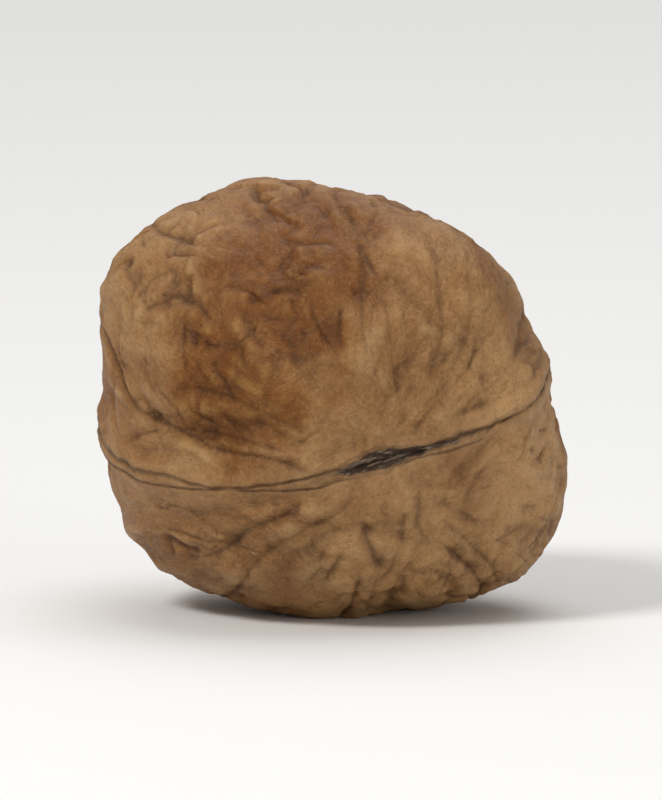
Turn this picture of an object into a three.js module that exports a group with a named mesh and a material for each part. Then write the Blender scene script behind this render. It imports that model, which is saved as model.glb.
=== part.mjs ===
// A walnut in its closed shell, as it lies on a table: one natural solid.
//
// The nut's own axes: U runs from the pointed tip to the stem end, W runs across
// the suture (the joint line of the two half shells), and N points out of the
// upper half shell. The suture lies close to the plane N = 0.
// The surface is one radius for every direction: a full ellipsoid, plus the
// shoulders, lumps, suture rib, stem scar and tip of a real shell.
// Millimetres, +Z up, origin on the table under the middle of the nut.

import * as THREE from "three";
import { mergeVertices } from "three/addons/utils/BufferGeometryUtils.js";

// ---- driving dimensions (mm) ----
const HALF_LENGTH = 20.4; // tip to stem end, halved
const HALF_WIDTH = 17.9; // across the suture
const HALF_THICKNESS = 17.7; // cheek to cheek
const FULLNESS = 2.16; // 2 is an ellipsoid, more is squarer
const KEEL_AT_STEM = 0.28; // broad swelling along the suture, growing towards the tip
const KEEL_AT_TIP = 0.5;
const KEEL_WIDTH = 3.6;
const RIB_AT_STEM = 0.16; // narrow rib along its crest
const RIB_AT_TIP = 0.44;
const RIB_WIDTH = 1.2;
const FLANK_DEPTH = 0.1; // shallow valley on each side of the swelling
const FLANK_AT = 5.4;
const FLANK_WIDTH = 2.2;
const STEM_FLAT = 0.85; // how far the stem end is pressed in
const SCAR_DEPTH = 0.75; // the slit where the stalk joined
const SCAR_HALF_LENGTH = 3.3;
const SCAR_HALF_WIDTH = 1.05;
const TIP_CONE = 1.15; // the pointed end: a broad cone and a small beak
const TIP_BEAK = 0.8;
const REST_CUT = 0.5; // depth of the small flat spot that the nut rests on
const GRID = 28; // surface steps along each side of the six patches

// How the nut lies: directions of its axes on the table.
const AXIS_U = [0.1996, -0.9592, -0.2003];
const AXIS_W = [0.9661, 0.1585, 0.2038];

// Shoulders and hollows of the half shells: direction (u, w, n), height, angular width (rad).
const SHOULDERS = [
  [0.335, 0.666, -0.667, 2.937, 0.52],
  [0.194, 0.97, -0.147, -1.403, 0.52],
  [-0.021, 0.903, 0.428, -0.352, 0.52],
  [-0.228, 0.492, 0.84, -2.197, 0.52],
  [-0.348, -0.107, 0.931, 0.235, 0.52],
  [-0.335, -0.666, 0.667, 2.331, 0.52],
  [-0.194, -0.97, 0.147, -0.107, 0.52],
  [0.021, -0.903, -0.428, 2.387, 0.52],
  [0.228, -0.492, -0.84, -0.13, 0.52],
  [0.348, 0.107, -0.931, -0.363, 0.52],
];

// Broad lumps: wave vector (u, w, n), phase, height.
const LUMPS = [
  [-2.131, -3.519, -0.66, 1.796, 0.045],
  [0.511, -2.574, -3.655, 0.306, 0.081],
  [0.832, -3.76, -2.921, 6.121, 0.077],
  [-4.286, -0.207, -2.878, 4.252, 0.046],
  [-4.335, 3.363, -0.383, 0.403, 0.069],
  [2.605, -5.157, -0.806, 5.48, 0.044],
  [-6.163, 0.099, -0.181, 2.744, 0.051],
  [-1.443, -3.975, -4.936, 0.936, 0.069],
  [3.299, 2.02, -5.633, 2.009, 0.073],
  [0.119, 0.157, -7.164, 0.091, 0.078],
  [4.262, -5.234, 3.27, 5.975, 0.058],
  [-3.722, 6.416, 2.517, 4.658, 0.068],
];

// Smaller unevenness of the shell, same form.
const RIPPLES = [
  [-7.605, -5.848, -5.955, 4.955, 0.027],
  [-1.695, -8.592, 8.02, 0.672, 0.022],
  [8.287, -0.573, 9.284, 1.218, 0.026],
  [5.088, -0.356, 12.003, 3.797, 0.024],
  [2.906, 2.07, -13.149, 1.788, 0.016],
  [-9.464, -6.131, 8.644, 3.875, 0.021],
  [-5.303, -13.799, -0.505, 2.069, 0.017],
  [10.102, 10.138, -5.618, 5.448, 0.016],
  [9.076, -6.243, -11.547, 0.746, 0.02],
  [-0.327, 10.938, 12.405, 2.827, 0.019],
  [-12.009, 0.761, -12.185, 4.425, 0.019],
  [0.219, 4.35, 17.164, 2.884, 0.017],
];

const bell = (x) => Math.exp(-x * x);

// The suture wanders a little off its plane, in mm, for an angle around the nut.
const wander = (round) =>
  0.38 +
  0.3 * Math.sin(2 * round + 0.6) +
  0.16 * Math.sin(3 * round - 0.3) +
  0.1 * Math.sin(7 * round + 0.3);

function radius(u, w, n) {
  let r = Math.pow(
    Math.pow(Math.abs(u / HALF_LENGTH), FULLNESS) +
      Math.pow(Math.abs(w / HALF_WIDTH), FULLNESS) +
      Math.pow(Math.abs(n / HALF_THICKNESS), FULLNESS),
    -1 / FULLNESS,
  );
  const fromStem = Math.acos(Math.max(-1, Math.min(1, u)));
  const fromTip = Math.PI - fromStem;
  r -= STEM_FLAT * bell(fromStem / 0.42);
  r += TIP_CONE * bell(fromTip / 0.34) + TIP_BEAK * bell(fromTip / 0.11);
  for (const [ku, kw, kn, phase, height] of [...LUMPS, ...RIPPLES])
    r += height * Math.sin(ku * u + kw * w + kn * n + phase);
  for (const [cu, cw, cn, height, width] of SHOULDERS) {
    const away = Math.acos(Math.max(-1, Math.min(1, cu * u + cw * w + cn * n)));
    r += height * bell(away / width);
  }
  const round = Math.atan2(w, u);
  const off = r * n - wander(round);
  const towardsTip = (1 - u) / 2;
  const keel = KEEL_AT_STEM + (KEEL_AT_TIP - KEEL_AT_STEM) * towardsTip;
  const rib =
    RIB_AT_STEM +
    (RIB_AT_TIP - RIB_AT_STEM) * towardsTip -
    0.07 * w +
    0.06 * Math.sin(3 * round + 1) +
    0.05 * Math.sin(5 * round + 2.5) +
    0.32 * bell(fromTip / 0.5);
  r +=
    keel * bell(off / KEEL_WIDTH) +
    rib * bell(off / RIB_WIDTH) -
    FLANK_DEPTH * bell((Math.abs(off) - FLANK_AT) / FLANK_WIDTH);
  if (u > 0)
    r -=
      SCAR_DEPTH *
      bell((r * w + 0.3) / SCAR_HALF_LENGTH) *
      bell(off / SCAR_HALF_WIDTH);
  return r;
}

// ---- the shell's surface: a cube's grid blown up to a sphere of directions ----
const cube = new THREE.BoxGeometry(2, 2, 2, GRID, GRID, GRID);
cube.clearGroups();
cube.deleteAttribute("normal");
cube.deleteAttribute("uv");
const shell = mergeVertices(cube, 1e-5);
const at = shell.getAttribute("position");
const even = (x) => Math.tan((x * Math.PI) / 4);
const closer = (x) => 0.65 * x + 0.35 * x * x * x; // finer rows beside the suture
const way = new THREE.Vector3();
for (let i = 0; i < at.count; i++) {
  way.fromBufferAttribute(at, i);
  way.set(even(way.x), even(way.y), even(closer(way.z))).normalize();
  // The middle row follows the suture.
  way.z +=
    (wander(Math.atan2(way.y, way.x)) / 19) *
    bell(way.z / 0.45) *
    Math.hypot(way.x, way.y);
  way.normalize();
  way.multiplyScalar(radius(way.x, way.y, way.z));
  at.setXYZ(i, way.x, way.y, way.z);
}

// Lay it down, then press the lowest skin into one small flat spot at Z = 0.
const u = new THREE.Vector3(...AXIS_U).normalize();
const w = new THREE.Vector3(...AXIS_W);
w.addScaledVector(u, -w.dot(u)).normalize();
const n = new THREE.Vector3().crossVectors(u, w);
shell.applyMatrix4(new THREE.Matrix4().makeBasis(u, w, n));
shell.computeBoundingBox();
shell.translate(0, 0, -shell.boundingBox.min.z - REST_CUT);
for (let i = 0; i < at.count; i++) if (at.getZ(i) < 0) at.setZ(i, 0);
shell.computeBoundingBox();
const middle = shell.boundingBox.getCenter(new THREE.Vector3());
shell.translate(-middle.x, -middle.y, 0);
shell.computeVertexNormals();

const woodyShell = new THREE.MeshStandardMaterial({
  color: new THREE.Color(0x8f6d49),
  roughness: 0.68,
  metalness: 0,
});

const walnut = new THREE.Mesh(shell, woodyShell);
walnut.name = "walnut";

const nut = new THREE.Group();
nut.add(walnut);

export default nut;
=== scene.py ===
import math
import bpy
import numpy as np
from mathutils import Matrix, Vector, kdtree


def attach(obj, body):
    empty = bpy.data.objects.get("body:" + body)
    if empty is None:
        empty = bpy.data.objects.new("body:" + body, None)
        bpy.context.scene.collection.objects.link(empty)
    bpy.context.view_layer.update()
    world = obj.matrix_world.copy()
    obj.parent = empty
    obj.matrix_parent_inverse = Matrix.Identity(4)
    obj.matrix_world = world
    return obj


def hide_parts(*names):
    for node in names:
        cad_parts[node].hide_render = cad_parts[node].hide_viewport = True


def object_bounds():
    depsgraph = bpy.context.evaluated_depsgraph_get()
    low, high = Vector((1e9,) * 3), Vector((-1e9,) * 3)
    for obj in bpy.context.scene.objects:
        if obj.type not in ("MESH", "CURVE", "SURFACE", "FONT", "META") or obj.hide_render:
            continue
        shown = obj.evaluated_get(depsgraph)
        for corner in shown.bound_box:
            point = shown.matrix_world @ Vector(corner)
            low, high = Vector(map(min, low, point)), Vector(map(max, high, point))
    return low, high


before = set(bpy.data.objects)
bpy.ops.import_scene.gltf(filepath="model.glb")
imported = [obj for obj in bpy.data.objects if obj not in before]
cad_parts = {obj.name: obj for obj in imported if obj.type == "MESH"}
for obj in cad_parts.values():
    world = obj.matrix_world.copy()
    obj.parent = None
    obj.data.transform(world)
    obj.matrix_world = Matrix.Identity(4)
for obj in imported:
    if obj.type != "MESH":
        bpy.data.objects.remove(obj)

CAD_BOX = [[float(x) for x in corner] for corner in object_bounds()]
MM = 0.001

# ------------------------------------------------------------------------------------------
# The nut's large shape, in mm: the same radius for every direction as the CAD solid has.
# Own axes: u to the stem end, w across the suture, n out of the upper half shell.
# ------------------------------------------------------------------------------------------
HALF_LENGTH, HALF_WIDTH, HALF_THICKNESS, FULLNESS = 20.4, 17.9, 17.7, 2.16
KEEL_AT_STEM, KEEL_AT_TIP, KEEL_WIDTH = 0.28, 0.5, 3.6
RIB_AT_STEM, RIB_AT_TIP, RIB_WIDTH = 0.16, 0.44, 1.2
FLANK_DEPTH, FLANK_AT, FLANK_WIDTH = 0.10, 5.4, 2.2
STEM_FLAT = 0.85
SCAR_DEPTH, SCAR_HALF_LENGTH, SCAR_HALF_WIDTH = 0.75, 3.3, 1.05
TIP_CONE, TIP_BEAK = 1.15, 0.8
REST_CUT = 0.5
AXIS_U = (0.1996, -0.9592, -0.2003)
AXIS_W = (0.9661, 0.1585, 0.2038)
SHOULDERS = [
    (0.335, 0.666, -0.667, 2.937, 0.52), (0.194, 0.97, -0.147, -1.403, 0.52), (-0.021, 0.903, 0.428, -0.352, 0.52),
    (-0.228, 0.492, 0.84, -2.197, 0.52), (-0.348, -0.107, 0.931, 0.235, 0.52), (-0.335, -0.666, 0.667, 2.331, 0.52),
    (-0.194, -0.97, 0.147, -0.107, 0.52), (0.021, -0.903, -0.428, 2.387, 0.52), (0.228, -0.492, -0.84, -0.13, 0.52),
    (0.348, 0.107, -0.931, -0.363, 0.52),
]
LUMPS = [
    (-2.131, -3.519, -0.66, 1.796, 0.045), (0.511, -2.574, -3.655, 0.306, 0.081), (0.832, -3.76, -2.921, 6.121, 0.077),
    (-4.286, -0.207, -2.878, 4.252, 0.046), (-4.335, 3.363, -0.383, 0.403, 0.069), (2.605, -5.157, -0.806, 5.48, 0.044),
    (-6.163, 0.099, -0.181, 2.744, 0.051), (-1.443, -3.975, -4.936, 0.936, 0.069), (3.299, 2.02, -5.633, 2.009, 0.073),
    (0.119, 0.157, -7.164, 0.091, 0.078), (4.262, -5.234, 3.27, 5.975, 0.058), (-3.722, 6.416, 2.517, 4.658, 0.068),
    (-7.605, -5.848, -5.955, 4.955, 0.027), (-1.695, -8.592, 8.02, 0.672, 0.022), (8.287, -0.573, 9.284, 1.218, 0.026),
    (5.088, -0.356, 12.003, 3.797, 0.024), (2.906, 2.07, -13.149, 1.788, 0.016), (-9.464, -6.131, 8.644, 3.875, 0.021),
    (-5.303, -13.799, -0.505, 2.069, 0.017), (10.102, 10.138, -5.618, 5.448, 0.016), (9.076, -6.243, -11.547, 0.746, 0.02),
    (-0.327, 10.938, 12.405, 2.827, 0.019), (-12.009, 0.761, -12.185, 4.425, 0.019), (0.219, 4.35, 17.164, 2.884, 0.017),
]


def bell(x):
    return np.exp(-x * x)


def step(lo, hi, x):
    t = np.clip((x - lo) / (hi - lo), 0.0, 1.0)
    return t * t * (3.0 - 2.0 * t)


def unit(v):
    return v / np.linalg.norm(v, axis=-1, keepdims=True)


def wander(psi):
    return 0.38 + 0.3 * np.sin(2 * psi + 0.6) + 0.16 * np.sin(3 * psi - 0.3) + 0.1 * np.sin(7 * psi + 0.3)


def macro(D):
    """Radius in mm, and the distance off the suture, for unit directions D."""
    u, w, n = D[:, 0], D[:, 1], D[:, 2]
    r = (np.abs(u / HALF_LENGTH) ** FULLNESS + np.abs(w / HALF_WIDTH) ** FULLNESS
         + np.abs(n / HALF_THICKNESS) ** FULLNESS) ** (-1 / FULLNESS)
    ts = np.arccos(np.clip(u, -1, 1))
    tt = math.pi - ts
    r = r - STEM_FLAT * bell(ts / 0.42) + TIP_CONE * bell(tt / 0.34) + TIP_BEAK * bell(tt / 0.11)
    for ku, kw, kn, phase, height in LUMPS:
        r = r + height * np.sin(ku * u + kw * w + kn * n + phase)
    for cu, cw, cn, height, width in SHOULDERS:
        r = r + height * bell(np.arccos(np.clip(cu * u + cw * w + cn * n, -1, 1)) / width)
    psi = np.arctan2(w, u)
    off = r * n - wander(psi)
    along = (1 - u) / 2
    keel = KEEL_AT_STEM + (KEEL_AT_TIP - KEEL_AT_STEM) * along
    rib = (RIB_AT_STEM + (RIB_AT_TIP - RIB_AT_STEM) * along - 0.07 * w + 0.06 * np.sin(3 * psi + 1)
           + 0.05 * np.sin(5 * psi + 2.5) + 0.32 * bell(tt / 0.5))
    r = r + keel * bell(off / KEEL_WIDTH) + rib * bell(off / RIB_WIDTH) \
        - FLANK_DEPTH * bell((np.abs(off) - FLANK_AT) / FLANK_WIDTH)
    r = r - np.where(u > 0, SCAR_DEPTH * bell((r * w + 0.3) / SCAR_HALF_LENGTH) * bell(off / SCAR_HALF_WIDTH), 0.0)
    return r, off


# ------------------------------------------------------------------------------------------
# Seeded gradient noise
# ------------------------------------------------------------------------------------------
class Noise:
    def __init__(self, seed):
        rng = np.random.default_rng(seed)
        p = rng.permutation(256)
        self.p = np.concatenate([p, p])
        self.g = unit(rng.normal(size=(256, 3)))

    def __call__(self, X):
        i = np.floor(X).astype(np.int64)
        f = X - i
        i &= 255
        s = f * f * f * (f * (f * 6 - 15) + 10)
        out = np.zeros(len(X))
        for dx in (0, 1):
            a = self.p[(i[:, 0] + dx) & 255]
            wx = s[:, 0] if dx else 1 - s[:, 0]
            for dy in (0, 1):
                b = self.p[a + ((i[:, 1] + dy) & 255)]
                wy = s[:, 1] if dy else 1 - s[:, 1]
                for dz in (0, 1):
                    h = self.p[b + ((i[:, 2] + dz) & 255)]
                    wz = s[:, 2] if dz else 1 - s[:, 2]
                    g = self.g[h]
                    out += wx * wy * wz * (g[:, 0] * (f[:, 0] - dx) + g[:, 1] * (f[:, 1] - dy) + g[:, 2] * (f[:, 2] - dz))
        return out * 1.7


def fbm(noise, X, octaves=3, gain=0.5, lac=2.03):
    out, amp = np.zeros(len(X)), 1.0
    for k in range(octaves):
        out += amp * noise(X * lac ** k + 17.3 * k)
        amp *= gain
    return out


# ------------------------------------------------------------------------------------------
# An even grid of directions: a cube's grid blown up to a sphere, finer beside the suture
# ------------------------------------------------------------------------------------------
GRID = 128


def directions(N):
    keys, quads = [], []
    ii, jj = np.meshgrid(np.arange(N + 1), np.arange(N + 1), indexing="ij")
    count = 0
    for ax in range(3):
        for side in (0, 1):
            a, b = (ax + 1) % 3, (ax + 2) % 3
            c = np.zeros((N + 1, N + 1, 3), np.int64)
            c[..., ax], c[..., a], c[..., b] = side * N, ii, jj
            keys.append(((c[..., 0] * (N + 1) + c[..., 1]) * (N + 1) + c[..., 2]).ravel())
            g = count + np.arange((N + 1) ** 2).reshape(N + 1, N + 1)
            q = np.stack([g[:-1, :-1], g[1:, :-1], g[1:, 1:], g[:-1, 1:]], -1).reshape(-1, 4)
            quads.append(q if side else q[:, ::-1])
            count += (N + 1) ** 2
    keys, quads = np.concatenate(keys), np.concatenate(quads)
    kept, where = np.unique(keys, return_inverse=True)
    quads = where.reshape(-1)[quads]
    c = np.stack([kept // (N + 1) ** 2, kept // (N + 1) % (N + 1), kept % (N + 1)], 1) * (2.0 / N) - 1.0
    z = c[:, 2]
    c[:, 2] = np.where(np.abs(z) < 0.9999999, 0.5 * z + 0.5 * z ** 3, z)
    D = unit(np.tan(c * math.pi / 4))
    D[:, 2] += wander(np.arctan2(D[:, 1], D[:, 0])) / 19 * bell(D[:, 2] / 0.45) * np.hypot(D[:, 0], D[:, 1])
    return unit(D), quads


D, QUADS = directions(GRID)
R0, OFF = macro(D)
P0 = D * R0[:, None]                      # on the large shape, in the nut's own axes, mm
THETA = np.arccos(np.clip(D[:, 0], -1, 1))   # from the stem end
PSI = np.arctan2(D[:, 1], D[:, 0])
rng = np.random.default_rng(4107)

# Lines of the shell run from the stem end to the tip. These coordinates are stretched along
# them, and bent a little, so noise read there comes out as streaks, grooves and wrinkles.
nA, nB, nC, nD, nE = (Noise(s) for s in (3, 14, 15, 92, 65))
bend = np.stack([fbm(Noise(s), P0 / 9.0, 2) for s in (35, 89, 79)], 1) * 0.075 \
    + np.stack([Noise(s)(P0 / 2.6) for s in (32, 38, 46)], 1) * 0.016
DB = unit(D + bend)
TB = np.arccos(np.clip(DB[:, 0], -1, 1))
FB = np.arctan2(DB[:, 2], DB[:, 1])
SB = (np.sin(TB) ** 2 + 0.0025) ** 0.3 - 0.0025 ** 0.3


def grain(across, along, shift=0.0):
    return np.stack([np.cos(FB) * SB * across, np.sin(FB) * SB * across, TB * along], 1) + shift


edges = np.concatenate([QUADS[:, [0, 1]], QUADS[:, [1, 2]], QUADS[:, [2, 3]], QUADS[:, [3, 0]]])
edges = np.unique(np.sort(edges, 1), axis=0)
deg = np.bincount(edges.ravel(), minlength=len(D)).astype(float)


def smoothed(v, rounds):
    for _ in range(rounds):
        s = np.bincount(edges[:, 0], v[edges[:, 1]], len(D)) + np.bincount(edges[:, 1], v[edges[:, 0]], len(D))
        v = 0.3 * v + 0.7 * s / deg
    return v


def crossings(dist, x_limit=1.15):
    """True where a signed distance changes sign without passing a line: halfway between two lines."""
    i, j = edges[:, 0], edges[:, 1]
    gap = np.linalg.norm(P0[i] - P0[j], axis=1)
    false = (dist[i] * dist[j] < 0) & (np.abs(dist[i]) + np.abs(dist[j]) > x_limit * gap)
    out = np.zeros(len(dist), bool)
    out[i[false]] = out[j[false]] = True
    return out


def area_of(places, lo=0.55, hi=1.25):
    """1 inside the given round places (direction, radius in mm), fading to 0 outside."""
    out = np.zeros(len(D))
    for c, radius in places:
        c = unit(np.array([c]))
        out = np.maximum(out, 1 - step(lo, hi, np.linalg.norm(P0 - c * macro(c)[0][0], axis=1) / radius))
    return out


# The skin is smooth around the stem scar, smoothest above it to the right, and rougher above it to the left
SMOOTH = np.maximum(area_of([((0.86, 0.30, 0.41), 6.5), ((0.70, 0.56, 0.44), 7.0), ((0.93, 0.0, 0.36), 4.5), ((0.52, 0.42, 0.74), 5.5)]),
                    0.7 * area_of([((0.98, 0.05, -0.20), 9.0), ((0.80, -0.52, -0.28), 8.0), ((0.84, 0.45, -0.28), 7.0), ((0.92, -0.3, 0.2), 6.0)]))
COARSE = area_of([((0.62, -0.32, 0.72), 6.5), ((0.75, -0.60, 0.28), 4.5), ((0.30, -0.40, 0.87), 5.0)])
ROUGH = np.clip(1.0 - 0.52 * SMOOTH + 0.15 * COARSE, 0.2, 1.1)

near_stem, near_tip = bell(THETA / 0.75), bell((math.pi - THETA) / 0.7)
patch = step(-0.25, 0.55, fbm(nA, P0 / 8.5 + 4.0, 2))        # where the shell is rougher
H = np.zeros(len(D))

skin = kdtree.KDTree(len(P0))
for k, p in enumerate(P0):
    skin.insert(p, k)
skin.balance()

# Broad fluting and valleys
H += 0.27 * nB(grain(3.0, 0.9, 2.0)) + 0.20 * nC(grain(6.4, 1.5, 9.0)) + 0.08 * nA(grain(12.0, 2.4, 3.0)) * ROUGH
H += 0.20 * fbm(nE, grain(7.5, 0.7, 4.0), 2) * bell(THETA / 0.95) * step(0.12, 0.4, THETA)
ridged = 1 - np.abs(nD(grain(5.0, 1.3, 5.0)))
valley = np.clip(ridged, 0, 1) ** 5
H -= 0.18 * valley * (0.35 + 0.65 * patch) * ROUGH
# Soft dimpled unevenness
H += 0.05 * fbm(nE, P0 / 3.4, 2) * (0.5 + patch) + 0.012 * nA(P0 / 1.3)


# ------------------------------------------------------------------------------------------
# Veins and wrinkles: drawn as lines over the shell, then cut in by distance
# ------------------------------------------------------------------------------------------
def walk(theta, phi, heading, length, rng, ds=0.3, wob=0.022, home=0.05, back=False):
    """Points of a line that heads from the stem end to the tip (or back), with a wavering course."""
    pts, hv = [], 0.0
    s = -1.0 if back else 1.0
    for _ in range(max(3, int(length / ds))):
        pts.append((math.cos(theta), math.sin(theta) * math.cos(phi), math.sin(theta) * math.sin(phi)))
        hv = 0.86 * hv + rng.normal(0, wob)
        heading = (1 - home) * heading + hv
        theta += s * math.cos(heading) * ds / 18.5
        if not 0.13 < theta < math.pi - 0.10:
            break
        phi += math.sin(heading) * ds / (18.5 * max(0.12, math.sin(theta)))
        off = 18.5 * math.sin(theta) * math.sin(phi)
        if abs(off) < 2.2:                # keep clear of the suture
            phi += math.copysign(0.012, math.sin(phi)) * (1 if math.cos(phi) > 0 else -1)
    return np.array(pts)


class Lines:
    """Lines on the shell, each with a depth and a width along its course."""

    def __init__(self):
        self.lines = []

    def add(self, pts, depth, width, fade_in=0.12, fade_out=0.35, vary=None, ds=0.08):
        if len(pts) < 3:
            return
        for _ in range(2):
            pts[1:-1] = (pts[:-2] + 2 * pts[1:-1] + pts[2:]) / 4
        s = np.concatenate([[0], np.cumsum(np.linalg.norm(np.diff(pts, axis=0), axis=1))]) * 18.5
        m = max(8, int(s[-1] / ds))
        pts = unit(np.stack([np.interp(np.linspace(0, s[-1], m), s, pts[:, k]) for k in range(3)], 1))
        t = (np.arange(m) + 0.5) / m
        env = step(0, fade_in, t) * (1 - step(1 - fade_out, 1, t))
        if vary is not None:
            env = env * (0.72 + 0.45 * vary(pts * 9.0))
        env = np.clip(env, 0, 1.2)
        side = unit(np.cross(np.gradient(pts, axis=0), pts))
        self.lines.append((pts, side, depth * env, width * (0.55 + 0.45 * np.sqrt(np.minimum(env, 1)))))

    def relief(self, lip):
        """Cut the lines into the shell, each a groove with a slight lip on both sides."""
        global H
        cut, raised = np.zeros(len(P0)), np.zeros(len(P0))
        best, X, K, near_mm = np.zeros(len(P0)), np.full(len(P0), 6.0), np.zeros(len(P0)), np.full(len(P0), 9.0)
        for pts, side, depth, width in self.lines:
            Q = pts * macro(pts)[0][:, None]
            reach = 3.4 * width.max() + 0.3
            hits = set()
            for q in Q[:: max(1, min(6, len(Q) // 3))]:
                hits.update(h[1] for h in skin.find_range(Vector(q), reach))
            idx = np.fromiter(sorted(hits), np.int64)
            d2 = ((P0[idx][:, None, :] - Q[None]) ** 2).sum(-1)
            j = d2.argmin(1)
            dist = np.sqrt(d2[np.arange(len(idx)), j])
            sign = np.where(((P0[idx] - Q[j]) * side[j]).sum(1) < 0, -1.0, 1.0)
            x, h = dist / width[j], depth[j]
            cut[idx] += (h * bell(x)) ** 4
            raised[idx] = np.maximum(raised[idx], lip * h * bell((x - 1.9) / 0.8))
            soft = h * bell(x / 1.6)
            won = soft > best[idx]
            best[idx[won]], X[idx[won]], K[idx[won]] = soft[won], (x * sign)[won], h[won] * (1 - step(2.0, 3.2, x[won]))
            near_mm[idx[won]] = (dist * sign)[won]
        H += (raised - cut ** 0.25) * ROUGH
        return np.clip(X, -6, 6), K * ROUGH, K * ROUGH * ~crossings(near_mm)


# A network of shallow channels around long, slightly swollen islands. The islands are the
# cells around scattered points of the stretched coordinates.
net_rng = np.random.default_rng(611)
ACROSS, ALONG = 5.6, 2.1
side_n, long_n = int(math.ceil(0.9 * ACROSS)), int(math.ceil(math.pi * ALONG)) + 1
SEEDS = np.array([(i, j, k) for i in range(-side_n, side_n) for j in range(-side_n, side_n) for k in range(-1, long_n)], float)
SEEDS += net_rng.uniform(0.08, 0.92, SEEDS.shape)
SEED_LIFT = net_rng.uniform(0.0, 1.0, len(SEEDS))
net_tree = kdtree.KDTree(len(SEEDS))
for k, q in enumerate(SEEDS):
    net_tree.insert(q, k)
net_tree.balance()
G = grain(ACROSS, ALONG)
G += np.stack([Noise(s)(P0 / 2.2) for s in (5, 6, 7)], 1) * (0.30, 0.30, 0.22)
first, second = np.empty(len(G), np.int64), np.empty(len(G), np.int64)
for k, q in enumerate(G):
    (_, first[k], _), (_, second[k], _) = net_tree.find_n(q, 2)
SEED_LIFT[first[int(np.argmax(D @ unit(np.array([0.688, 0.009, 0.726]))))]] = 0.25
A, B = SEEDS[first], SEEDS[second]
N_AB = unit(B - A)
across_part, along_part = np.hypot(N_AB[:, 0], N_AB[:, 1]), np.abs(N_AB[:, 2])
mm_across = 22.2 / ACROSS * (np.sin(THETA) ** 0.4 + 0.15)
scale = 1 / np.sqrt((across_part / mm_across) ** 2 + (along_part * ALONG / 18.5) ** 2)
NET = np.abs(((G - (A + B) / 2) * N_AB).sum(1)) * scale          # mm to the nearest channel
NET_SIGNED = NET * np.where(first < second, 1.0, -1.0)
NET_K = (0.22 + 0.78 * across_part ** 2) * step(-0.30, 0.55, fbm(nC, P0 / 6.0 + 9.0, 2) + 0.35 * patch - 0.05)
NET_K *= ROUGH * step(0.10, 0.32, THETA) * step(0.08, 0.25, math.pi - THETA) * step(1.2, 2.6, np.abs(OFF))
NET_W = 0.30 + 0.18 * (nD(P0 / 4.0) + 0.5)
H -= 0.16 * NET_K * bell(NET / NET_W)
H += ((0.05 + 0.09 * SEED_LIFT[first]) * (1 - bell(NET / 1.1)) * step(0.8, 2.4, np.abs(OFF)) - 0.05) * ROUGH

# Wide, shallow furrows
furrows = Lines()
vary = Noise(77)
for k in range(9):
    back = k % 3 == 2
    phi = (k + rng.uniform(0.2, 0.8)) / 9 * 2 * math.pi
    if abs(math.sin(phi)) < 0.2:
        phi += 0.4
    start = rng.uniform(0.2, 0.4) if not back else math.pi - rng.uniform(0.2, 0.5)
    furrows.add(walk(start, phi, rng.normal(0, 0.1), rng.uniform(11, 24), rng, wob=0.012, back=back),
                rng.uniform(0.20, 0.32), rng.uniform(1.0, 1.7), 0.2, 0.5, vary)
FURROW_X, FURROW_K, _ = furrows.relief(0.12)

# Veins from end to end, with side branches
veins = Lines()
for half in (0, 1):
    slots = 12
    for k in range(slots):
        phi = half * math.pi + (k + 0.5 + rng.uniform(-0.3, 0.3)) / slots * math.pi
        back = rng.random() < 0.42
        theta = rng.uniform(0.16, 0.5) if not back else math.pi - rng.uniform(0.14, 0.45)
        length = rng.uniform(12, 40)
        pts = walk(theta, phi, rng.normal(0, 0.10), length, rng, wob=0.013, back=back)
        depth, width = rng.uniform(0.12, 0.26), rng.uniform(0.30, 0.52)
        if len(pts) < 12:
            continue
        for _ in range(int(length / 7.5)):
            m = rng.integers(len(pts) // 8, max(len(pts) // 8 + 1, int(len(pts) * 0.8)))
            c = pts[m]
            th, ph = math.acos(c[0]), math.atan2(c[2], c[1])
            veins.add(walk(th, ph, rng.choice([-1.0, 1.0]) * rng.uniform(0.35, 0.8), rng.uniform(2.5, 9), rng, back=back, home=0.04),
                      depth * rng.uniform(0.45, 0.8), width * 0.75, 0.02, 0.5, vary)
        veins.add(pts, depth, width, 0.06, 0.4, vary)
VEIN_X, VEIN_K, VEIN_C = veins.relief(0.22)

wrinkles = Lines()


def scatter_wrinkles(count, lo, hi, length, depth, width, back=False):
    for _ in range(count):
        th = rng.uniform(lo, hi)
        th = math.pi - th if back else th
        phi = rng.uniform(0, 2 * math.pi)
        if abs(18.5 * math.sin(th) * math.sin(phi)) < 2.0:
            continue
        wrinkles.add(walk(th, phi, rng.normal(0, 0.16), rng.uniform(*length), rng, ds=0.22, wob=0.024, back=back),
                     rng.uniform(*depth), rng.uniform(*width), 0.25, 0.45, vary)


scatter_wrinkles(120, 0.22, 1.05, (2.0, 7.0), (0.05, 0.16), (0.18, 0.34))
scatter_wrinkles(120, 0.16, 0.95, (2.0, 7.0), (0.06, 0.18), (0.16, 0.32), back=True)
scatter_wrinkles(80, 0.9, 2.3, (2.5, 9.0), (0.04, 0.11), (0.16, 0.32))


def curve(points, ds=0.22):
    """A smooth line through a few directions on the shell."""
    p = unit(np.array(points, float))
    if len(p) < 3:
        p = unit(np.array([p[0], (p[0] + p[1]) / 2, p[1]]))
    t = np.arange(len(p))
    q = np.stack([np.interp(np.linspace(0, len(p) - 1, 8 * len(p)), t, p[:, k]) for k in range(3)], 1)
    for _ in range(3):
        q[1:-1] = (q[:-2] + 2 * q[1:-1] + q[2:]) / 4
    q = unit(q)
    s = np.concatenate([[0], np.cumsum(np.linalg.norm(np.diff(q, axis=0), axis=1))]) * 18.5
    m = max(4, int(s[-1] / ds))
    return unit(np.stack([np.interp(np.linspace(0, s[-1], m), s, q[:, k]) for k in range(3)], 1))


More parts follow.
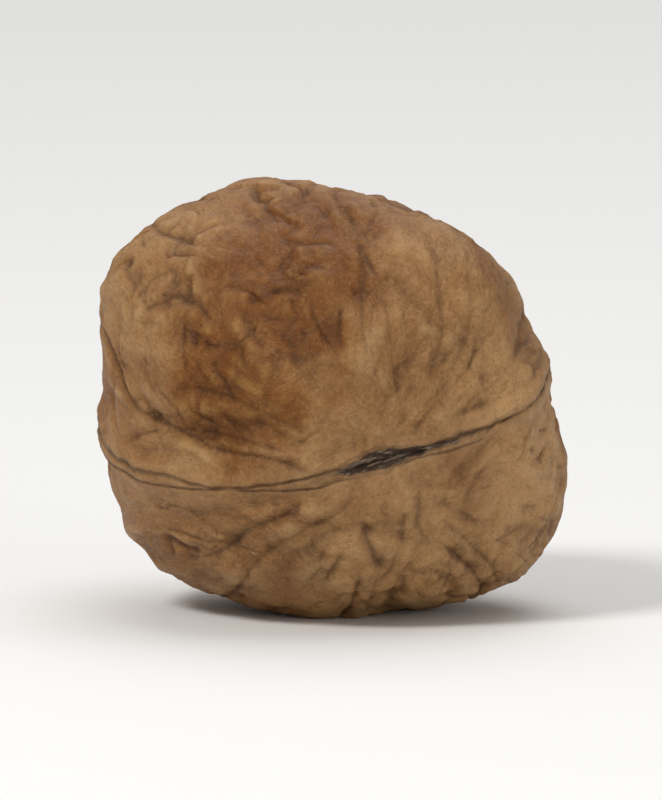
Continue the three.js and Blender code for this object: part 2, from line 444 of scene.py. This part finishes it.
# Creases that this nut has beside its stem scar
for points, d, w in [
    ([(0.537, 0.164, 0.827), (0.62, 0.163, 0.767), (0.695, 0.176, 0.697)], 0.17, 0.36),
    ([(0.724, 0.174, 0.667), (0.84, 0.144, 0.523), (0.929, 0.122, 0.349), (0.981, 0.142, 0.13)], 0.11, 0.40),
    ([(0.622, 0.531, 0.576), (0.715, 0.52, 0.467), (0.816, 0.443, 0.372), (0.927, 0.301, 0.224)], 0.13, 0.50),
    ([(0.672, 0.654, 0.347), (0.77, 0.575, 0.277), (0.875, 0.446, 0.187)], 0.09, 0.42),
    ([(0.687, 0.397, 0.609), (0.792, 0.378, 0.479), (0.88, 0.311, 0.36), (0.945, 0.227, 0.236)], 0.10, 0.45),
    ([(0.976, -0.116, -0.184), (0.959, -0.113, -0.261), (0.928, -0.097, -0.361), (0.88, -0.046, -0.473)], 0.29, 0.58),
    ([(0.981, 0.051, -0.185), (0.943, 0.025, -0.331)], 0.20, 0.34),
    ([(0.985, 0.143, -0.096), (0.964, 0.089, -0.251), (0.909, 0.144, -0.392)], 0.18, 0.50),
    ([(0.928, -0.21, -0.308), (0.811, -0.311, -0.495)], 0.18, 0.36),
    ([(0.886, -0.288, -0.364), (0.805, -0.358, -0.472)], 0.15, 0.34),
    ([(0.922, 0.286, -0.259), (0.921, 0.354, -0.163), (0.882, 0.464, -0.088)], 0.12, 0.40),
    ([(0.611, -0.293, 0.735), (0.646, -0.197, 0.737), (0.702, -0.121, 0.702)], 0.12, 0.40),
    ([(0.65, -0.362, 0.668), (0.719, -0.287, 0.632), (0.749, -0.201, 0.632), (0.791, -0.157, 0.591)], 0.08, 0.38),
    ([(0.575, -0.085, 0.814), (0.639, -0.01, 0.769), (0.587, 0.032, 0.809)], 0.08, 0.36),
    ([(0.643, -0.579, 0.501), (0.724, -0.54, 0.429), (0.782, -0.522, 0.341)], 0.14, 0.44),
    ([(0.284, -0.641, 0.713), (0.461, -0.558, 0.69), (0.601, -0.527, 0.602)], 0.13, 0.44),
    ([(0.365, -0.17, 0.915), (0.452, -0.082, 0.888), (0.465, 0.023, 0.885), (0.554, 0.065, 0.83)], 0.10, 0.40),
    ([(0.845, -0.123, 0.521), (0.853, -0.193, 0.486), (0.831, -0.294, 0.472)], 0.09, 0.38),
    ([(0.833, -0.358, 0.422), (0.81, -0.311, 0.497), (0.776, -0.298, 0.556)], 0.08, 0.38),
    ([(0.061, -0.358, 0.932), (0.057, -0.499, 0.865), (0.094, -0.595, 0.798)], 0.10, 0.40),
]:
    wrinkles.add(curve(points), d, w, 0.2, 0.35)
WRINKLE_X, WRINKLE_K, WRINKLE_C = wrinkles.relief(0.26)

# Fine ridged wrinkling, stronger near both ends and in the rougher patches
fine = np.clip(1 - np.abs(nB(grain(11.5, 4.2, 1.0))) * 1.7, 0, 1) ** 3
fine_where = np.clip(0.20 + 0.75 * near_stem + 0.75 * near_tip + 0.45 * patch, 0, 1) * ROUGH
H -= 0.075 * fine * fine_where

# ------------------------------------------------------------------------------------------
# Pits and dimples
# ------------------------------------------------------------------------------------------
PIT = np.zeros(len(D))


def dent(c, radius, depth, mark):
    c = unit(np.asarray(c, float)[None])
    r, _ = macro(c)
    c = c[0] * r[0]
    hit = skin.find_range(Vector(c), radius * 2.4)
    if not hit:
        return
    idx = np.array([h[1] for h in hit])
    d = P0[idx] - c
    # a little longer than wide, along the shell's lines
    ax = unit(np.cross(np.cross([1.0, 0, 0], c), c)[None])[0]
    s = d @ ax
    q = np.sqrt(np.maximum(0, (d * d).sum(1) - s * s) + (s * 0.72) ** 2) / radius
    q = q * (1 + 0.25 * nE(P0[idx] * 2.2))
    calm = np.clip(1 - 0.8 * SMOOTH[idx], 0, 1)
    H[idx] -= depth * np.exp(-(q ** 2.6)) * calm
    if mark:
        PIT[idx] = np.maximum(PIT[idx], mark * np.exp(-(q * 1.05) ** 3) * calm)


for _ in range(150):
    c = unit(rng.normal(size=3))
    if abs(c[2]) < 0.1:
        continue
    dent(c, rng.uniform(0.7, 1.7), rng.uniform(0.02, 0.08), 0)
for _ in range(130):
    c = unit(rng.normal(size=3) * (1.6 if rng.random() < 0.5 else 1.0, 1, 1))
    if abs(c[2]) < 0.09:
        continue
    size = rng.random() ** 2
    dent(c, 0.15 + 0.25 * size, 0.05 + 0.14 * size, rng.uniform(0.15, 0.8))

# Dark blemishes, sunk a little
SPOT = np.zeros(len(D))
for c, radius, mark in [((0.852, -0.448, 0.269), 0.70, 0.65), ((0.75, -0.624, 0.22), 0.60, 0.45),
                        ((0.621, -0.29, 0.728), 0.8, 0.55), ((0.252, -0.657, 0.711), 1.1, 0.55),
                        ((-0.35, 0.55, 0.76), 1.3, 0.7), ((-0.55, -0.35, 0.76), 0.9, 0.6), ((0.1, 0.8, -0.6), 1.2, 0.6),
                        ((-0.5, -0.7, -0.5), 1.4, 0.7), ((0.3, -0.3, -0.9), 1.0, 0.6)]:
    c = unit(np.array([c]))
    q = np.linalg.norm(P0 - c * macro(c)[0][0], axis=1) / radius
    q = q * (1 + 0.5 * fbm(nC, P0 / 1.1, 2))
    SPOT = np.maximum(SPOT, mark * np.exp(-np.clip(q, 0, 9) ** 4))
H -= 0.10 * SPOT

H *= 1.45

# A few places where the relief is calmer
CALM = area_of([((0.722, 0.676, 0.152), 2.1), ((0.836, 0.543, 0.081), 2.2), ((0.77, 0.575, 0.277), 1.6), ((0.690, -0.055, 0.720), 2.2)], 0.5, 1.3)
H += (smoothed(H, 45) - H) * 0.85 * CALM
H -= 0.12 * area_of([((0.690, -0.055, 0.720), 1.8)], 0.3, 1.2)
for K in (VEIN_K, VEIN_C, WRINKLE_K, WRINKLE_C, FURROW_K, NET_K, PIT):
    K *= 1 - 0.8 * CALM

# ------------------------------------------------------------------------------------------
# Suture: two lips pressed together, with one or two fine dark cracks between them
# ------------------------------------------------------------------------------------------
def around_seam(noise, freq, octaves=2, shift=0.0):
    """Noise read along the suture only; the circle closes on itself."""
    X = np.stack([np.cos(PSI) * freq, np.sin(PSI) * freq, np.full(len(D), shift)], 1)
    return fbm(noise, X, octaves)


ARC = 19.0 * np.abs(PSI)                                            # mm from the scar's middle
left = step(-0.10, -0.22, PSI) * step(-2.1, -1.6, PSI)             # from the scar towards -w
right = step(0.10, 0.22, PSI) * step(1.1, 0.7, PSI)
jag = 0.14 * around_seam(nA, 4.0, 3) + 0.06 * around_seam(nB, 16.0, 2)
gap = 0.10 + 0.38 * bell((ARC - 5.5) / 4.2) + 0.30 * step(13.0, 18.0, ARC) + 0.10 * around_seam(nC, 3.0, 2, 4.0)
QA = OFF - jag - gap * left - 0.10 * (1 - left)
QB = OFF - jag * 0.6 + gap * left + (0.56 + 0.3 * around_seam(nE, 4.0, 2, 2.0)) * (1 - left)
open_tip = bell((math.pi - THETA) / 0.22)
KA = (1 - 0.30 * left) * np.clip(0.80 + 0.45 * around_seam(nD, 9.0, 2) - 0.35 * right * step(8.0, 12.0, ARC), 0.25, 1)
KB = 0.75 * np.clip(left * (0.80 + 0.7 * around_seam(nC, 8.0, 2, 8.0)) + 0.75 * right * step(9.5, 7.0, ARC)
             + (1 - left) * (1 - right) * 0.8 * step(0.10, 0.45, around_seam(nD, 2.2, 1, 6.0)), 0, 1)
WIDE = 1 + 0.9 * right * step(8.0, 4.0, ARC) + 0.5 * left * step(14.0, 18.0, ARC) + 0.4 * around_seam(nE, 6.0, 2, 3.0)
crack_a = bell(QA / (0.17 * np.clip(WIDE, 0.7, 2) + 0.10 * open_tip)) * KA
crack_b = bell(QB / 0.16) * KB
lips = bell((np.abs(OFF - jag) - 0.62) / 0.34)
H += 0.06 * lips * (0.6 + 0.8 * around_seam(nB, 6.0, 2, 3.0)) - 0.26 * crack_a - 0.16 * crack_b
crest = bell(OFF / 1.5)
H += crest * (0.10 * fbm(nD, P0 / 1.6, 3) + 0.07 * around_seam(nE, 7.0, 2, 5.0))
H -= 0.16 * open_tip * bell(OFF / 0.5)
# the rib stands out more where it runs over the sides to the tip
stand = step(5.0, 15.0, ARC) * (0.75 + 0.5 * around_seam(nD, 3.0, 2, 9.0))
H += stand * (0.30 * bell(OFF / 1.3) - 0.09 * bell((np.abs(OFF) - 3.1) / 1.0))
# a fine crease where the rib meets each cheek
for side, s in ((1, 0.0), (-1, 2.0)):
    foot = OFF * side - 1.85 - 0.6 * around_seam(nB, 3.0, 2, s)
    H -= 0.12 * bell(foot / 0.36) * step(-0.1, 0.5, around_seam(nE, 3.0, 1, 5 * s + 1))

# ------------------------------------------------------------------------------------------
# Stem scar: a slit with torn, raised edges and pale fibres inside
# ------------------------------------------------------------------------------------------
stem = step(0.15, 0.35, D[:, 0])
SX = (R0 * D[:, 1] - 0.95) / 6.1
SY = (OFF - 0.16 * (1 - SX * SX) + 0.10 * SX) / (0.32 + 0.66 * bell((SX + 0.30) / 0.50))
ragged = 1 + 0.26 * fbm(nE, P0 / 1.1, 2)
slit = np.sqrt(SX ** 2 + SY ** 2) * ragged
SCAR = stem * (1 - step(0.70, 1.02, slit))
H += stem * (0.10 * bell((slit - 1.25) / 0.22) * (0.6 + nC(P0 / 1.3)) - 0.30 * (1 - step(0.35, 1.0, slit)))
H += SCAR * 0.20 * fbm(nA, np.stack([P0[:, 1] * 0.7, P0[:, 2] * 2.4, P0[:, 0] * 0.8], 1), 2)
around = stem * bell((slit - 1.3) / 0.9)
H -= around * 0.05 * np.clip(1 - np.abs(nC(grain(16.0, 6.0))) * 2.0, 0, 1) ** 2
SX, SY = np.where(stem > 0.01, SX, 9.0), np.where(stem > 0.01, SY, 9.0)

# Patches of a warmer, more orange brown
WARM = np.zeros(len(D))
for c, radius, much in [((0.62, -0.25, 0.74), 9.0, 1.0), ((0.76, -0.50, 0.42), 7.5, 1.0), ((0.30, -0.05, 0.95), 8.0, 0.9),
                        ((0.697, 0.009, 0.717), 4.0, 0.9), ((-0.5, 0.6, 0.6), 8.0, 0.6), ((-0.6, -0.6, -0.5), 9.0, 0.6), ((0.2, 0.9, -0.3), 6.0, 0.45), ((-0.2, -0.95, 0.1), 6.0, 0.5)]:
    c = unit(np.array([c]))
    q = np.linalg.norm(P0 - c * macro(c)[0][0], axis=1) / radius + 0.34 * fbm(nB, P0 / 3.4 + 3.0, 3)
    WARM = np.maximum(WARM, much * (1 - step(0.32, 1.22, q)))

# Paler, yellower patches. Below the scar and to its right they are painted light, brightening the lower front half and
# the right side; the two on the back are paler skin.
PALE_AND_PAINTED_LIGHT = np.zeros(len(D))
for c, radius in [((0.92, 0.02, -0.38), 10.0), ((0.72, 0.62, -0.30), 9.5), ((0.80, 0.58, 0.12), 8.0), ((0.62, 0.10, -0.78), 9.0),
                  ((-0.55, 0.25, -0.75), 7.0), ((-0.8, -0.2, 0.5), 6.0)]:
    c = unit(np.array([c]))
    q = np.linalg.norm(P0 - c * macro(c)[0][0], axis=1) / radius + 0.30 * fbm(nC, P0 / 4.0 + 7.0, 2)
    PALE_AND_PAINTED_LIGHT = np.maximum(PALE_AND_PAINTED_LIGHT, 1 - step(0.35, 1.15, q))

# ------------------------------------------------------------------------------------------
# To the table's axes; press the small flat spot; keep the foot of the nut on z = 0
# ------------------------------------------------------------------------------------------
U = np.array(AXIS_U) / np.linalg.norm(AXIS_U)
W = np.array(AXIS_W) - U * np.dot(U, AXIS_W)
W /= np.linalg.norm(W)
N = np.cross(U, W)
ROT = np.stack([U, W, N], 1)
P = P0 @ ROT.T
P[:, 2] -= P[:, 2].min() + REST_CUT
middle = (P.min(0) + P.max(0)) / 2
P[:, :2] -= middle[:2]
soft = 0.10
P[:, 2] = np.where(P[:, 2] > 1.5, P[:, 2], soft * np.log1p(np.exp(np.clip(P[:, 2] / soft, -40, 40))))
P += (D @ ROT.T) * H[:, None]
P[:, 2] = np.maximum(P[:, 2], 0.0)

# Height against a smoothed copy of itself: the colour is darker in the hollows and paler on the crests.
HIGH = 0.6 * (H - smoothed(H, 14)) + 0.4 * (smoothed(H, 6) - smoothed(H, 90))

mesh = bpy.data.meshes.new("walnut_shell")
mesh.vertices.add(len(P))
mesh.vertices.foreach_set("co", (P * MM).astype(np.float32).ravel())
mesh.loops.add(QUADS.size)
mesh.loops.foreach_set("vertex_index", QUADS.ravel().astype(np.int32))
mesh.polygons.add(len(QUADS))
mesh.polygons.foreach_set("loop_start", np.arange(0, QUADS.size, 4, dtype=np.int32))
mesh.update(calc_edges=True)
mesh.validate()
mesh.shade_smooth()
shell = bpy.data.objects.new("walnut_shell", mesh)
bpy.context.scene.collection.objects.link(shell)


def attribute(name, values, kind="FLOAT"):
    a = mesh.attributes.new(name, kind, "POINT")
    a.data.foreach_set("value" if kind == "FLOAT" else "vector", np.ascontiguousarray(values, np.float32).ravel())


attribute("vein", np.stack([VEIN_X, np.clip(VEIN_K / 0.24, 0, 1), np.clip(VEIN_C / 0.24, 0, 1)], 1), "FLOAT_VECTOR")
attribute("furrow_x", FURROW_X)
attribute("furrow_k", np.clip(FURROW_K / 0.28, 0, 1))
attribute("wrinkle", np.stack([WRINKLE_X, np.clip(WRINKLE_K / 0.17, 0, 1), np.clip(WRINKLE_C / 0.17, 0, 1)], 1), "FLOAT_VECTOR")
attribute("fine", np.clip(fine * fine_where, 0, 1))
attribute("pit", np.clip(PIT, 0, 1))
attribute("spot", np.clip(SPOT, 0, 1))
attribute("seam", np.stack([np.clip(QA, -9, 9), np.clip(QB, -9, 9), KB], 1), "FLOAT_VECTOR")
attribute("seam_k", KA)
attribute("seam_w", 1 / np.clip(WIDE, 0.6, 2.2) ** 2)
attribute("scar", np.stack([SX, SY, ragged], 1), "FLOAT_VECTOR")
attribute("high", np.clip(0.5 + HIGH / 0.46, 0, 1))
attribute("ends", np.clip(bell(THETA / 0.42) + 0.9 * bell((math.pi - THETA) / 0.36), 0, 1))
attribute("rib", np.clip(bell(OFF / 1.25), 0, 1))
attribute("warm", WARM)
# painted light on the lower front and right side, paler skin on the back; less where the shell is warmer
attribute("pale_and_painted_light", PALE_AND_PAINTED_LIGHT * (1 - 0.8 * WARM))
attribute("net", np.stack([np.clip(NET_SIGNED / NET_W, -9, 9), np.clip(NET_K, 0, 1), np.clip(NET_K * ~crossings(NET_SIGNED), 0, 1)], 1), "FLOAT_VECTOR")
attribute("island", SEED_LIFT[first])
attribute("grain", grain(1.0, 0.36), "FLOAT_VECTOR")


# ------------------------------------------------------------------------------------------
# Material of the shell
# ------------------------------------------------------------------------------------------
def srgb(r, g, b):
    def f(c):
        c /= 255.0
        return c / 12.92 if c <= 0.04045 else ((c + 0.055) / 1.055) ** 2.4
    return (f(r), f(g), f(b), 1.0)


class Graph:
    def __init__(self, material):
        material.use_nodes = True
        self.t = material.node_tree
        self.t.nodes.clear()

    def n(self, kind, **settings):
        node = self.t.nodes.new(kind)
        for k, v in settings.items():
            setattr(node, k, v)
        return node

    def put(self, socket, value):
        if hasattr(value, "is_output"):
            self.t.links.new(value, socket)
        else:
            socket.default_value = value

    def attr(self, name, vector=False):
        node = self.n("ShaderNodeAttribute", attribute_name=name)
        return node.outputs["Vector" if vector else "Fac"]

    def math(self, op, a, b=0.0, clamp=False):
        node = self.n("ShaderNodeMath", operation=op, use_clamp=clamp)
        self.put(node.inputs[0], a)
        self.put(node.inputs[1], b)
        return node.outputs[0]

    def bell(self, x, sharp=1.0):
        return self.math("EXPONENT", self.math("MULTIPLY", self.math("MULTIPLY", x, x), -sharp))

    def parts(self, vector):
        node = self.n("ShaderNodeSeparateXYZ")
        self.put(node.inputs[0], vector)
        return node.outputs[0], node.outputs[1], node.outputs[2]

    def stretch(self, vector, scale):
        node = self.n("ShaderNodeVectorMath", operation="MULTIPLY")
        self.put(node.inputs[0], vector)
        node.inputs[1].default_value = scale
        return node.outputs[0]

    def noise(self, vector, scale, detail=3.0, rough=0.55, distortion=0.0):
        node = self.n("ShaderNodeTexNoise")
        self.put(node.inputs["Vector"], vector)
        self.put(node.inputs["Scale"], scale)
        self.put(node.inputs["Detail"], detail)
        self.put(node.inputs["Roughness"], rough)
        self.put(node.inputs["Distortion"], distortion)
        return node.outputs["Fac"]

    def remap(self, value, lo, hi, to_lo=0.0, to_hi=1.0):
        node = self.n("ShaderNodeMapRange", interpolation_type="SMOOTHSTEP")
        self.put(node.inputs["Value"], value)
        for key, v in (("From Min", lo), ("From Max", hi), ("To Min", to_lo), ("To Max", to_hi)):
            node.inputs[key].default_value = v
        return node.outputs["Result"]

    def mix(self, fac, a, b, blend="MIX"):
        node = self.n("ShaderNodeMix", data_type="RGBA", blend_type=blend, clamp_factor=True)
        self.put(node.inputs[0], fac)
        self.put(node.inputs[6], a)
        self.put(node.inputs[7], b)
        return node.outputs[2]

    def ramp(self, fac, stops):
        node = self.n("ShaderNodeValToRGB")
        self.put(node.inputs["Fac"], fac)
        e = node.color_ramp.elements
        e[0].position, e[0].color = stops[0]
        e[1].position, e[1].color = stops[-1]
        for p, c in stops[1:-1]:
            x = e.new(p)
            x.color = c
        return node.outputs["Color"]


mat = bpy.data.materials.new("walnut_shell")
g = Graph(mat)
obj_co = g.n("ShaderNodeTexCoord").outputs["Object"]
grain_co = g.attr("grain", True)
fine_a, pit, spot = g.attr("fine"), g.attr("pit"), g.attr("spot")
high, ends, rib = g.attr("high"), g.attr("ends"), g.attr("rib")

cloud = g.noise(obj_co, 95.0, 4.0, 0.55, 0.4)             # patches about 10 mm across
mottle = g.noise(obj_co, 420.0, 4.0, 0.62, 0.6)           # mottles about 2 mm across
streak = g.noise(grain_co, 9.0, 5.0, 0.62, 0.35)          # long streaks from end to end
thread = g.noise(grain_co, 40.0, 4.0, 0.62, 0.2)          # fibres along them
ray = g.noise(g.stretch(grain_co, (1.0, 1.0, 0.14)), 11.0, 3.0, 0.55, 0.15)   # pale and dark rays from the scar
hair = g.noise(g.stretch(grain_co, (1.0, 1.0, 0.45)), 105.0, 3.0, 0.6)   # the finest fibres
speck = g.noise(obj_co, 1900.0, 2.0, 0.5)
tiny = g.noise(obj_co, 2600.0, 3.0, 0.6)

# Lines: a broad soft tint and a thin dark core, both from the distance to the line
shake = g.math("MULTIPLY", g.math("SUBTRACT", g.noise(obj_co, 1500.0, 2.0, 0.5), 0.5), 0.9)
vein_x, vein_k, vein_c = g.parts(g.attr("vein", True))
wrinkle_x, wrinkle_k, wrinkle_c = g.parts(g.attr("wrinkle", True))
net_x, net_k, net_c = g.parts(g.attr("net", True))
vein_x, wrinkle_x = g.math("ADD", vein_x, shake), g.math("ADD", wrinkle_x, shake)
net_x = g.math("ADD", net_x, g.math("MULTIPLY", shake, 0.7))
furrow_k = g.attr("furrow_k")
vein_soft = g.math("MULTIPLY", g.bell(vein_x, 0.55), vein_k)
vein_core = g.math("MULTIPLY", g.bell(vein_x, 7.0), vein_c)
wrinkle_soft = g.math("MULTIPLY", g.bell(wrinkle_x, 0.8), wrinkle_k)
wrinkle_core = g.math("MULTIPLY", g.bell(wrinkle_x, 6.0), wrinkle_c)
furrow = g.math("MULTIPLY", g.bell(g.attr("furrow_x"), 1.0), furrow_k)
net_soft = g.math("MULTIPLY", g.bell(net_x, 0.6), net_k)
net_core = g.math("MULTIPLY", g.bell(net_x, 9.0), net_c)

seam_a, seam_b, seam_bk = g.parts(g.attr("seam", True))
rag = g.math("MULTIPLY", g.math("SUBTRACT", g.noise(obj_co, 900.0, 3.0, 0.6), 0.5), 0.30)
seam_ar = g.math("ADD", seam_a, rag)
crack_a = g.math("EXPONENT", g.math("MULTIPLY", g.math("MULTIPLY", g.math("MULTIPLY", seam_ar, seam_ar), -75.0), g.attr("seam_w")))
crack_a = g.math("MULTIPLY", crack_a, g.attr("seam_k"))
crack_b = g.math("MULTIPLY", g.bell(g.math("ADD", seam_b, rag), 120.0), seam_bk)
seam = g.math("MAXIMUM", crack_a, crack_b)
seam_soft = g.math("MAXIMUM", g.math("MULTIPLY", g.bell(seam_a, 5.0), g.attr("seam_k")), g.math("MULTIPLY", g.bell(seam_b, 6.0), seam_bk))

scar_x, scar_y, scar_r = g.parts(g.attr("scar", True))
scar_q = g.math("SQRT", g.math("ADD", g.math("MULTIPLY", scar_x, scar_x), g.math("MULTIPLY", scar_y, scar_y)))
scar_q = g.math("ADD", g.math("MULTIPLY", scar_q, scar_r), g.math("MULTIPLY", rag, 0.9))
scar = g.remap(scar_q, 1.02, 0.72)
scar_rim = g.bell(g.math("SUBTRACT", scar_q, 1.12), 45.0)
fibre = g.noise(g.stretch(g.attr("scar", True), (3.2, 2.6, 0.0)), 1.0, 4.0, 0.62, 1.2)
fleck = g.math("MULTIPLY", g.remap(scar_q, 0.95, 0.6), g.remap(fibre, 0.48, 0.56))

tone = g.math("ADD", g.math("MULTIPLY", cloud, 0.42), g.math("ADD", g.math("MULTIPLY", streak, 0.38), g.math("MULTIPLY", mottle, 0.20)))
base = g.ramp(tone, [(0.34, srgb(112, 73, 35)), (0.44, srgb(132, 91, 49)), (0.54, srgb(149, 108, 64)), (0.66, srgb(166, 129, 84))])
base = g.mix(g.remap(ray, 0.52, 0.68, 0.0, 0.20), base, srgb(180, 146, 102))
base = g.mix(g.remap(ray, 0.48, 0.32, 0.0, 0.22), base, srgb(98, 62, 30))
warm = g.remap(g.noise(obj_co, 130.0, 3.0, 0.5, 0.8), 0.46, 0.66)
base = g.mix(g.math("MULTIPLY", warm, 0.26), base, srgb(128, 78, 34))
base = g.mix(g.math("MULTIPLY", g.attr("warm"), 0.66), base, srgb(118, 66, 14))
# painted light: paler, yellower colour over the lower front half and the right side so they look brighter; on the back,
# paler skin
base = g.mix(g.math("MULTIPLY", g.attr("pale_and_painted_light"), 0.46), base, srgb(188, 148, 98))
base = g.mix(g.remap(thread, 0.54, 0.70, 0.0, 0.26), base, srgb(84, 54, 30))
base = g.mix(g.remap(hair, 0.54, 0.66, 0.0, 0.24), base, srgb(80, 52, 30))
base = g.mix(g.remap(hair, 0.46, 0.36, 0.0, 0.16), base, srgb(182, 150, 112))
base = g.mix(g.remap(mottle, 0.56, 0.72, 0.0, 0.18), base, srgb(92, 58, 30))
base = g.mix(g.math("MULTIPLY", g.attr("warm"), g.remap(g.noise(obj_co, 520.0, 3.0, 0.6, 0.8), 0.48, 0.64, 0.0, 0.36)), base, srgb(86, 48, 14))
base = g.mix(g.remap(high, 0.52, 0.92, 0.0, 0.40), base, srgb(182, 148, 102))
base = g.mix(g.remap(high, 0.48, 0.12, 0.0, 0.52), base, srgb(86, 52, 25))
base = g.mix(g.math("MULTIPLY", furrow, 0.30), base, srgb(100, 62, 26))
base = g.mix(g.math("MULTIPLY", net_soft, 0.30), base, srgb(92, 58, 28))
base = g.mix(g.math("MULTIPLY", net_core, 0.34), base, srgb(62, 38, 19))
base = g.mix(g.math("MULTIPLY", fine_a, 0.30), base, srgb(84, 52, 27))
base = g.mix(g.math("MULTIPLY", vein_soft, 0.34), base, srgb(84, 52, 27))
base = g.mix(g.math("MULTIPLY", wrinkle_soft, 0.26), base, srgb(84, 52, 28))
base = g.mix(g.math("MULTIPLY", ends, 0.22), base, srgb(92, 62, 38))
base = g.mix(g.math("MULTIPLY", vein_core, 0.58), base, srgb(50, 30, 16))
base = g.mix(g.math("MULTIPLY", wrinkle_core, 0.46), base, srgb(50, 30, 17))
base = g.mix(g.remap(tiny, 0.54, 0.68, 0.0, 0.20), base, srgb(78, 50, 28))
base = g.mix(g.remap(tiny, 0.46, 0.34, 0.0, 0.12), base, srgb(186, 154, 112))
base = g.mix(g.remap(speck, 0.66, 0.74, 0.0, 0.30), base, srgb(58, 36, 20))
base = g.mix(g.math("MULTIPLY", pit, 0.66), base, srgb(48, 29, 17))
base = g.mix(g.math("MULTIPLY", spot, 0.75), base, srgb(66, 37, 17))
base = g.mix(g.math("MULTIPLY", rib, 0.16), base, srgb(172, 140, 104))
base = g.mix(g.math("MULTIPLY", seam_soft, 0.40), base, srgb(84, 58, 38))
base = g.mix(g.math("MULTIPLY", seam, 0.84), base, srgb(44, 29, 19))
base = g.mix(g.math("MULTIPLY", scar_rim, 0.35), base, srgb(70, 46, 28))
base = g.mix(g.math("MULTIPLY", scar, 0.90), base, srgb(54, 42, 36))
base = g.mix(g.math("MULTIPLY", fleck, 0.75), base, srgb(154, 134, 112))

base = g.mix(g.math("MULTIPLY", g.attr("warm"), 0.85), base, (0.74, 0.61, 0.24, 1.0), "MULTIPLY")

rough = g.math("ADD", 0.48, g.math("MULTIPLY", mottle, 0.18))
rough = g.math("ADD", rough, g.math("MULTIPLY", g.math("ADD", vein_soft, scar, True), 0.18))
rough = g.math("SUBTRACT", rough, g.remap(high, 0.55, 0.9, 0.0, 0.07), True)

bumps = g.math("ADD", g.math("MULTIPLY", thread, 0.9), g.math("ADD", g.math("MULTIPLY", tiny, 0.60), g.math("MULTIPLY", mottle, 0.7)))
bumps = g.math("ADD", bumps, g.math("MULTIPLY", hair, 0.55))
bumps = g.math("SUBTRACT", bumps, g.math("ADD", g.math("MULTIPLY", wrinkle_core, 0.5), g.math("MULTIPLY", vein_core, 0.5)))
bumps = g.math("SUBTRACT", bumps, g.math("MULTIPLY", net_core, 0.35))
bumps = g.math("SUBTRACT", bumps, g.math("MULTIPLY", seam, 1.1))
bumps = g.math("ADD", bumps, g.math("MULTIPLY", fleck, 1.0))
bump = g.n("ShaderNodeBump")
bump.inputs["Strength"].default_value = 0.75
bump.inputs["Distance"].default_value = 0.00024
g.put(bump.inputs["Height"], bumps)

bsdf = g.n("ShaderNodeBsdfPrincipled")
g.put(bsdf.inputs["Base Color"], base)
g.put(bsdf.inputs["Roughness"], rough)
g.put(bsdf.inputs["Normal"], bump.outputs["Normal"])
bsdf.inputs["Specular IOR Level"].default_value = 0.22
out = g.n("ShaderNodeOutputMaterial")
g.t.links.new(bsdf.outputs[0], out.inputs["Surface"])
mesh.materials.append(mat)

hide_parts("walnut")
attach(shell, "root")

# ------------------------------------------------------------------------------------------
# Floor, soft studio light, camera
# ------------------------------------------------------------------------------------------
fm = bpy.data.meshes.new("floor")
fm.from_pydata([(-6, -6, 0), (6, -6, 0), (6, 6, 0), (-6, 6, 0)], [], [(0, 1, 2, 3)])
fm.update()
floor = bpy.data.objects.new("floor", fm)
bpy.context.scene.collection.objects.link(floor)
floor_mat = bpy.data.materials.new("floor")
fg = Graph(floor_mat)
fb = fg.n("ShaderNodeBsdfPrincipled")
fg.put(fb.inputs["Base Color"], fg.mix(fg.noise(fg.n("ShaderNodeTexCoord").outputs["Object"], 3.0, 2.0), (0.79, 0.79, 0.785, 1), (0.81, 0.81, 0.802, 1)))
fb.inputs["Roughness"].default_value = 0.75
fb.inputs["Specular IOR Level"].default_value = 0.2
fo = fg.n("ShaderNodeOutputMaterial")
fg.t.links.new(fb.outputs[0], fo.inputs["Surface"])
fm.materials.append(floor_mat)

MIDDLE = Vector([(a + b) / 2 for a, b in zip(*CAD_BOX)])


def area(name, at, size, power, colour=(1, 1, 1), aim=MIDDLE):
    light = bpy.data.lights.new(name, "AREA")
    light.shape, light.size, light.energy, light.color = "SQUARE", size, power, colour
    o = bpy.data.objects.new(name, light)
    o.location = at
    o.rotation_euler = (Vector(aim) - Vector(at)).to_track_quat("-Z", "Y").to_euler()
    bpy.context.scene.collection.objects.link(o)


area("key", (-0.46, -0.48, 0.68), 0.24, 5.2, (1.0, 0.985, 0.96))
area("fill", (0.62, -0.80, 0.16), 0.60, 3.3, (1.0, 0.99, 0.97))
area("top", (0.25, 0.20, 1.10), 0.80, 3.8)
area("far", (0.0, 1.5, 1.5), 1.4, 12.0, (1, 1, 1), (0.0, 1.4, 0.0))
world = bpy.data.worlds.new("studio")
world.use_nodes = True
world.node_tree.nodes["Background"].inputs["Color"].default_value = (1.0, 0.99, 0.975, 1.0)
world.node_tree.nodes["Background"].inputs["Strength"].default_value = 0.36
bpy.context.scene.world = world
bpy.context.scene.view_settings.view_transform = "Standard"

ELEVATION, DISTANCE, FIELD = math.radians(6.0), 0.80, 0.0655
camera = bpy.data.cameras.new("camera")
camera.lens, camera.sensor_width = 36.0 * DISTANCE / FIELD, 36.0
camera.clip_start, camera.clip_end = 0.05, 20.0
cam = bpy.data.objects.new("camera", camera)
aim = MIDDLE + Vector((0, 0, -0.0006))
cam.location = aim + DISTANCE * Vector((0, -math.cos(ELEVATION), math.sin(ELEVATION)))
cam.rotation_euler = (aim - cam.location).to_track_quat("-Z", "Y").to_euler()
bpy.context.scene.collection.objects.link(cam)
bpy.context.scene.camera = cam
